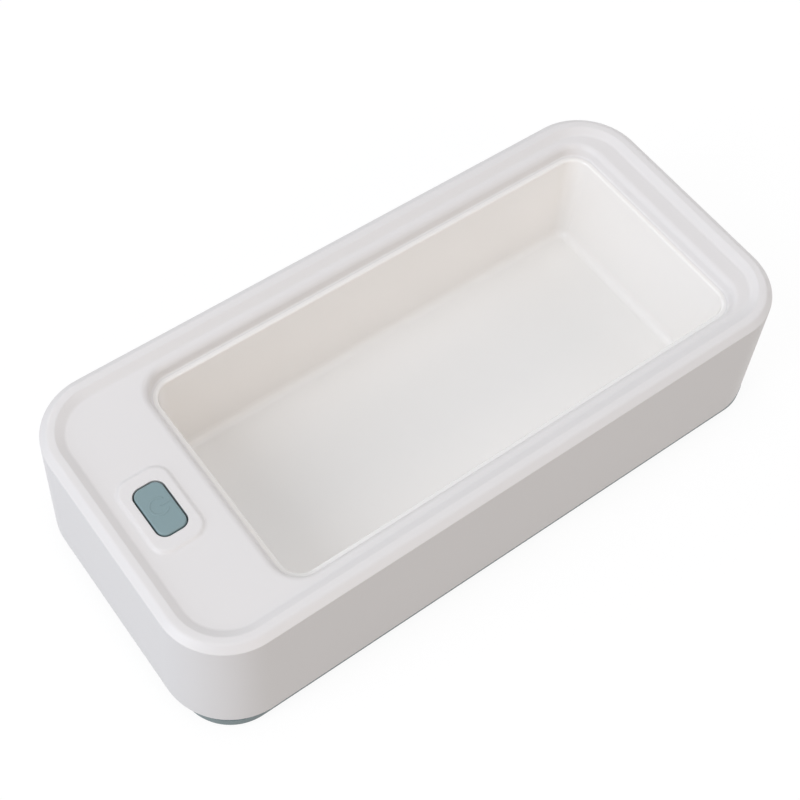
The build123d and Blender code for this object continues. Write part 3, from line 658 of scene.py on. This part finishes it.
print("upper housing done:", len(upperHousing.data.polygons), "faces")

# Tank
tub = {
    "shelf": 2.9,
    "depth": 37.5,
    "draft": 3.63,
    "wall": 2.0,
    "mouthRound": 0.8,
    "floorRound": 3.2,
    "flange": 2.0,
    "flangeReach": 7.2,
    "flangeRound": 0.3,
    "grooveStart": 0.5,
    "grooveEnd": 1.9,
    "grooveDepth": 1.0,
    "gasketRound": 0.2,
    "screwHoleRadius": 1.4,
    "cornerSpare": 0.9,  # what the flat's outline keeps of the opening's corner radius
}
lean = math.tan(math.radians(tub["draft"]))
floorEdge = -tub["shelf"] - tub["depth"] * lean
outerEdge = tub["wall"] - tub["shelf"]
undersideEdge = outerEdge - (level["shelf"] - level["tankUnderside"]) * lean
flatEnd = tub["cornerSpare"] - outline["opening"][2]  # as far in as the corners allow
flangeLow = level["shelf"] - tub["flange"]
grooveFloor = level["shelf"] - tub["grooveDepth"]
grooveMiddle = (tub["grooveStart"] + tub["grooveEnd"]) / 2
tankTub = assemble(
    "tankTub",
    [
        sweep(
            "tub",
            outline["opening"],
            [
                (flatEnd, level["tankFloor"], 0),
                (floorEdge, level["tankFloor"], tub["floorRound"]),
                (-tub["shelf"], level["shelf"], tub["mouthRound"]),
                (tub["grooveStart"], level["shelf"], 0),
                (tub["grooveStart"], grooveFloor, 0),
                (tub["grooveEnd"], grooveFloor, 0),
                (tub["grooveEnd"], level["shelf"], 0),
                (tub["flangeReach"], level["shelf"], tub["flangeRound"]),
                (tub["flangeReach"], flangeLow, tub["flangeRound"]),
                (outerEdge - tub["flange"] * lean, flangeLow, tub["flangeRound"]),
                (undersideEdge, level["tankUnderside"], tub["floorRound"] + tub["wall"]),
                (flatEnd, level["tankUnderside"], 0),
            ],
            polishedWhiteAbs,
            steps=24,
            turnStep=7.0,
        )
    ],
    fillAt=(level["tankFloor"], level["tankUnderside"]),
)
holeSection = postSection(
    tub["screwHoleRadius"], flangeLow - overcut, level["shelf"] + overcut, turn=0
)
holes = turnedAt("tankHoles", tankPlaces, holeSection, polishedWhiteAbs)
combine(tankTub, assemble("tankHoles", [holes]), "DIFFERENCE")
finishPiece(tankTub, "housing", "tank_white", "tank")

gasket = assemble(
    "siliconeGasket",
    [
        sweep(
            "gasket",
            outline["opening"],
            [
                (grooveMiddle, level["shelf"], 0),
                (tub["grooveStart"], level["shelf"], tub["gasketRound"]),
                (tub["grooveStart"], grooveFloor, tub["gasketRound"]),
                (tub["grooveEnd"], grooveFloor, tub["gasketRound"]),
                (tub["grooveEnd"], level["shelf"], tub["gasketRound"]),
                (grooveMiddle, level["shelf"], 0),
            ],
            finishBySlot["silicone"],
        )
    ],
)
finishPiece(gasket, "housing", "silicone", "tank_gasket")
print("tank done")

# Base tray
tray = {
    "footRound": 0.8,
    "stepIn": 0.1,
    "stepRound": 0.06,
    "bottomMargin": 6.0,
    "lipEdge": -1.342,  # the lip's outer face, from the housing's outline
    "lipLap": 0.05,
    "lipWall": 1.8,
    "lipHeight": 2.4,
    "lipRound": 0.3,
    "wellRound": 0.5,
    "wellMargin": 3.0,
    "pillarRadius": 3.75,
    "pillarTop": 8.0,
    "postRadius": 2.8,
    "postTop": 9.2,
    "boardX": -92.0,
    "postSpreadX": 15.0,
    "postSpreadY": 60.0,
    "pocketRadius": 2.8,
    "pocketTop": 4.4,
    "holeRadius": 1.65,
    "recessRadius": 5.2,
    "recessTop": 2.0,
    "edgeBreak": 0.25,
    "footX": 97.0,
    "footY": 35.7,
}
well = tray["lipEdge"] - tray["lipWall"]
lipTop = level["housingBottom"] + tray["lipHeight"]
footPlaces = [(i * tray["footX"], j * tray["footY"]) for i in (-1, 1) for j in (-1, 1)]
postPlaces = [
    (tray["boardX"] + i * tray["postSpreadX"] / 2, j * tray["postSpreadY"] / 2)
    for i in (-1, 1) for j in (-1, 1)
]
baseTray = assemble(
    "baseTray",
    [
        sweep(
            "trayOutside",
            outline["base"],
            [
                (-tray["bottomMargin"], level["baseBottom"], 0),
                (0, level["baseBottom"], tray["footRound"]),
                (0, level["housingBottom"], tray["stepRound"]),
                (-tray["stepIn"], level["housingBottom"], 0),
            ],
            satinBlueGreyAbs,
            steps=28,
        ),
        sweep(
            "trayInside",
            outline["housing"],
            [
                (tray["lipEdge"] + tray["lipLap"], level["housingBottom"], 0),
                (tray["lipEdge"], level["housingBottom"], 0),
                (tray["lipEdge"], lipTop, tray["lipRound"]),
                (well, lipTop, tray["lipRound"]),
                (well, level["innerFloor"], tray["wellRound"]),
                (well - tray["wellMargin"], level["innerFloor"], 0),
            ],
            satinBlueGreyAbs,
            steps=28,
        ),
    ],
    fillAt=(level["baseBottom"], level["housingBottom"], level["innerFloor"]),
)
inFloor = level["innerFloor"] - overlap
pillarSection = postSection(tray["pillarRadius"], inFloor, tray["pillarTop"])
pillars = turnedAt("pillars", screwPlaces, pillarSection, satinBlueGreyAbs)
trayPostSection = postSection(tray["postRadius"], inFloor, tray["postTop"])
posts = turnedAt("posts", postPlaces, trayPostSection, satinBlueGreyAbs)
combine(baseTray, assemble("pillars", [pillars, posts]), "UNION")
below = level["baseBottom"] - overcut
edgeBreak = tray["edgeBreak"]


def pocketSection(radius, top):  # a round pocket in the underside, its mouth slightly flared
    return [
        (0, below, 0),
        (radius + edgeBreak, below, 0),
        (radius + edgeBreak, level["baseBottom"], 0),
        (radius, level["baseBottom"] + edgeBreak, 0),
        (radius, top, 0),
        (0, top, 0),
    ]


headPocket = pocketSection(tray["pocketRadius"], tray["pocketTop"])
pockets = turnedAt("pockets", screwPlaces, headPocket, satinBlueGreyAbs, steps=40)
footPocket = pocketSection(tray["recessRadius"], tray["recessTop"])
recesses = turnedAt("recesses", footPlaces, footPocket, satinBlueGreyAbs, steps=56)
combine(baseTray, assemble("pockets", [pockets, recesses]), "DIFFERENCE")
shaftSection = pocketSection(tray["holeRadius"], tray["pillarTop"] + overcut)
shaftHoles = turnedAt("shaftHoles", screwPlaces, shaftSection, satinBlueGreyAbs)
combine(baseTray, assemble("shaftHoles", [shaftHoles]), "DIFFERENCE")
finishPiece(baseTray, "housing", "base_blue_grey", "base_plate")
print("base tray done")

# Feet and screws
foot = {
    "radius": 5.0,
    "height": 2.0,
    "lowerRound": 0.35,
    "upperRound": 0.1,
    "dishRadius": 3.9,  # the underside is dished, so the foot stands on a ring
    "dishDepth": 0.12,
    "dishRound": 0.4,
    "ringRadius": 4.2,
    "ringRound": 0.3,
}
footSection = [
    (0, foot["dishDepth"], 0),
    (foot["dishRadius"], foot["dishDepth"], foot["dishRound"]),
    (foot["ringRadius"], 0, foot["ringRound"]),
    (foot["radius"], 0, foot["lowerRound"]),
    (foot["radius"], foot["height"], foot["upperRound"]),
    (0, foot["height"], 0),
]
feetMesh = turnedAt("feet", footPlaces, footSection, finishBySlot["foot_rubber"], steps=56)
finishPiece(assemble("rubberPads", [feetMesh]), "housing", "foot_rubber", "rubber_feet")

# Pan-head screws with a cross recess: the form that all of them share
screwForm = {
    "crownRound": 0.45,  # share of the head's height
    "rimRound": 0.1,
    "tipTaper": 0.3,  # share of the shank
    "tipRound": 0.2,
    "crossReach": 0.3,  # share of the head's width
    "crossHalfWidth": 0.085,  # share of the head's width
    "crossDepth": 0.5,  # share of the head's height
    "crossProud": 0.3,  # the cutter stands this far out of the head
}
# Node, places, seat of the head above the table, head width and height, shank, length, tip up or down
screwSets = {
    "baseScrewSet": ("base_screws", screwPlaces, tray["pocketTop"], 5.2, 2.0, 2.9, 13.0, True),
    "tankScrewSet": ("tank_screws", tankPlaces, flangeLow, 4.4, 1.6, 2.4, 5.2, True),
    "switchScrewSet": ("switch_board_screws", switchPlaces, 41.6, 4.2, 1.4, 2.2, 6.0, True),
    "boardScrewSet": ("main_board_screws", postPlaces, 10.8, 4.2, 1.4, 2.2, 6.0, False),
}
for name, (node, places, seat, head, headHeight, shank, length, up) in screwSets.items():
    away = -1 if up else 1  # the head lies on this side of the seat
    top = seat + away * headHeight
    tip = seat - away * length
    section = [
        (0, top, 0),
        (head / 2, top, headHeight * screwForm["crownRound"]),
        (head / 2, seat, screwForm["rimRound"]),
        (shank / 2, seat, 0),
        (shank / 2, tip + away * shank * screwForm["tipTaper"], screwForm["tipRound"]),
        (shank * screwForm["tipTaper"], tip, 0),
        (0, tip, 0),
    ]
    piece = assemble(name, [turnedAt(name, places, section, finishBySlot["steel"], steps=28)])
    reach, narrow = head * screwForm["crossReach"], head * screwForm["crossHalfWidth"]
    crossFloor = top - away * headHeight * screwForm["crossDepth"]
    floor, mouth = sorted((crossFloor, top + away * screwForm["crossProud"]))
    for halfX, halfY in ((reach, narrow), (narrow, reach)):  # the two arms of the recess
        arms = []
        for x, y in places:
            low, high = (x - halfX, y - halfY, floor), (x + halfX, y + halfY, mouth)
            arms.append(boxMesh("arm", low, high, finishBySlot["steel"]))
        combine(piece, assemble("cross", arms), "DIFFERENCE")
    finishPiece(piece, "housing", "steel", node)
print("feet and screws done")

# Button
key = {
    "edgeRound": 0.6,
    "fillMargin": 1.4,
    "flangeReach": 1.4,
    "flangeRound": 0.1,
    "flangeTop": 48.8,
    "flangeBottom": 47.8,
    "postRadius": 2.5,
    "postBottom": 46.8,
    "signRadius": 2.85,
    "signLine": 0.7,
    "signHeight": 0.15,
    "signOpening": 70.0,  # degrees left out of the ring
    "signOffset": 0.6,
    "strokeStart": 0.5,
    "strokeEnd": 3.5,
    "signSteps": 48,
    "strokeSteps": 6,
}
capSweep = sweep(
    "cap",
    outline["button"],
    [
        (-key["fillMargin"], level["capTop"], 0),
        (0, level["capTop"], key["edgeRound"]),
        (0, key["flangeTop"], 0),
        (key["flangeReach"], key["flangeTop"], key["flangeRound"]),
        (key["flangeReach"], key["flangeBottom"], key["flangeRound"]),
        (-key["fillMargin"], key["flangeBottom"], 0),
    ],
    satinPaleTealAbs,
    steps=16,
)
buttonKey = assemble("buttonKey", [capSweep], fillAt=(level["capTop"], key["flangeBottom"]))
keyPostSection = postSection(key["postRadius"], key["postBottom"], key["flangeBottom"] + overlap)
post = turnedAt("keyPost", [(buttonX, 0)], keyPostSection, satinPaleTealAbs)
combine(buttonKey, assemble("keyPost", [post]), "UNION")


# The bead's section, as shares of its width and height: sunk into the cap at its foot, round on top
beadSection = [
    (-0.5, -0.3), (-0.5, 0.35), (-0.36, 0.8), (-0.15, 1.0),
    (0.15, 1.0), (0.36, 0.8), (0.5, 0.35), (0.5, -0.3),
]


# Raised power sign: a low bead along the open ring and the stroke
def beadAlong(name, path, width, height, base, finish):
    bm = bmesh.new()
    rows = []
    for i, spot in enumerate(path):
        onward = (path[min(i + 1, len(path) - 1)] - path[max(i - 1, 0)]).normalized()
        side = Vector((onward.y, -onward.x))
        row = []
        for u, w in beadSection:
            place = (spot + side * u * width) * mm
            row.append(bm.verts.new((place.x, place.y, (base + w * height) * mm)))
        rows.append(row)
    for before, after in zip(rows, rows[1:]):
        for k in range(len(beadSection)):
            n = (k + 1) % len(beadSection)
            bm.faces.new((before[k], before[n], after[n], after[k]))
    bm.faces.new(rows[0])
    bm.faces.new(list(reversed(rows[-1])))
    made = bpy.data.meshes.new(name)
    bm.to_mesh(made)
    bm.free()
    made.materials.append(finish)
    return made


signSteps, strokeSteps = key["signSteps"], key["strokeSteps"]
ringEnd = key["signOpening"] / 2
centre = Vector((buttonX, key["signOffset"]))
angles = [math.radians(ringEnd + (360 - 2 * ringEnd) * i / signSteps) for i in range(signSteps + 1)]
arc = [centre + key["signRadius"] * Vector((math.cos(a), math.sin(a))) for a in angles]
strokeLength = key["strokeEnd"] - key["strokeStart"]
stroke = [
    centre + Vector((key["strokeStart"] + strokeLength * i / strokeSteps, 0))
    for i in range(strokeSteps + 1)
]
signSize = key["signLine"], key["signHeight"]
for path in (arc, stroke):
    bead = beadAlong("sign", path, *signSize, level["capTop"], satinPaleTealAbs)
    combine(buttonKey, assemble("sign", [bead]), "UNION")
finishPiece(buttonKey, "button", "button_blue_grey", "button_cap")
print("button done")

# Floor, light and camera
studio = {
    "floorSize": 6.0,
    "floorWhite": 0.90,  # how much of the floor's white is its own, and so outside the shadow
    "floorTone": "#5F5F5F",  # the part of the white that the shadow takes away
    "floorBounce": "#A0A0A0",  # the floor as it lights the cleaner
    "worldLevel": 0.45,
    "lampSize": 0.9,
    "lampTarget": (0, 0, 0.03),
}
# Soft lamps round the cleaner: place in metres, power in watts, tint
lamps = {
    "leftHigh": ((-1.1, 0, 1.1), 6.1, (0.899, 0.939, 1.0)),
    "leftLow": ((-1.5, 0, 0.45), 7.0, (0.845, 0.887, 1.0)),
    "above": ((0, 0, 1.6), 2.1, (0.793, 0.894, 1.0)),
    "behind": ((0, 1.2, 1.0), 3.6, (1.0, 0.936, 0.936)),
    "inFront": ((0, -1.3, 0.8), 4.8, (1.0, 0.845, 0.738)),
    "rightHigh": ((1.2, 0, 1.0), 2.7, (0.885, 0.896, 1.0)),
}


# 1 for what the camera sees, also mirrored or through something clear, and 0 for light on the object
def seenDirectly(tree):
    rays = addNode(tree, "ShaderNodeLightPath").outputs
    seen = rays["Is Camera Ray"]
    for ray in ("Is Glossy Ray", "Is Transmission Ray"):
        larger = addNode(tree, "ShaderNodeMath", {}, {0: seen, 1: rays[ray]}, operation="MAXIMUM")
        seen = larger.outputs[0]
    return seen


bm = bmesh.new()
bmesh.ops.create_grid(bm, x_segments=1, y_segments=1, size=studio["floorSize"] / 2)
floorMesh = bpy.data.meshes.new("studioFloor")
bm.to_mesh(floorMesh)
bm.free()
studioFloor = bpy.data.objects.new("studioFloor", floorMesh)
scene.collection.objects.link(studioFloor)
paint = bpy.data.materials.new("paleStudioPaper")
paint.use_nodes = True
paper = paint.node_tree
paper.nodes.clear()
seen = seenDirectly(paper)
plain = addNode(paper, "ShaderNodeBsdfDiffuse", {"Color": fromHex(studio["floorBounce"])})
shaded = addNode(paper, "ShaderNodeBsdfDiffuse", {"Color": fromHex(studio["floorTone"])})
glow = addNode(paper, "ShaderNodeEmission", {"Strength": studio["floorWhite"]})
white = addNode(paper, "ShaderNodeAddShader", {}, {0: shaded.outputs[0], 1: glow.outputs[0]})
look = addNode(paper, "ShaderNodeMixShader", {}, {0: seen, 1: plain.outputs[0], 2: white.outputs[0]})
addNode(paper, "ShaderNodeOutputMaterial", {}, {"Surface": look.outputs[0]})
floorMesh.materials.append(paint)

world = bpy.data.worlds.new("studioWorld")
scene.world = world
world.use_nodes = True
sky = world.node_tree
sky.nodes.clear()
seen = seenDirectly(sky)
dim = addNode(sky, "ShaderNodeBackground", {"Color": (1, 1, 1, 1), "Strength": studio["worldLevel"]})
bright = addNode(sky, "ShaderNodeBackground", {"Color": (1, 1, 1, 1), "Strength": 1.0})
both = addNode(sky, "ShaderNodeMixShader", {}, {0: seen, 1: dim.outputs[0], 2: bright.outputs[0]})
addNode(sky, "ShaderNodeOutputWorld", {}, {"Surface": both.outputs[0]})

for name, (place, power, tint) in lamps.items():
    lamp = bpy.data.lights.new(name, "AREA")
    lamp.shape, lamp.size, lamp.energy, lamp.color = "DISK", studio["lampSize"], power, tint
    holder = bpy.data.objects.new(name, lamp)
    scene.collection.objects.link(holder)
    holder.location = place
    aim = Vector(studio["lampTarget"]) - Vector(place)
    holder.rotation_euler = aim.to_track_quat("-Z", "Y").to_euler()

# The camera as it was solved from the outline and the rim: metres, degrees and millimetres of lens
shot = {
    "place": (-0.18194, -0.19727, 0.44382),
    "azimuth": -41.49,
    "elevation": 57.40,
    "roll": 5.89,
    "lens": 68.14,
    "nearest": 0.01,
}
azimuth, elevation, roll = (math.radians(shot[k]) for k in ("azimuth", "elevation", "roll"))
right = Vector((math.cos(azimuth), math.sin(azimuth), 0))
flat = math.cos(elevation)
backward = Vector((math.sin(azimuth) * flat, -math.cos(azimuth) * flat, math.sin(elevation)))
upward = backward.cross(right)
across = math.cos(roll) * right + math.sin(roll) * upward
over = -math.sin(roll) * right + math.cos(roll) * upward
camera = bpy.data.objects.new("camera", bpy.data.cameras.new("camera"))
scene.collection.objects.link(camera)
camera.data.lens = shot["lens"]
camera.data.clip_start = shot["nearest"]
turn = Matrix((across, over, backward)).transposed().to_4x4()
camera.matrix_world = Matrix.Translation(shot["place"]) @ turn
scene.camera = camera
scene.view_settings.view_transform = "Standard"
print("studio done")
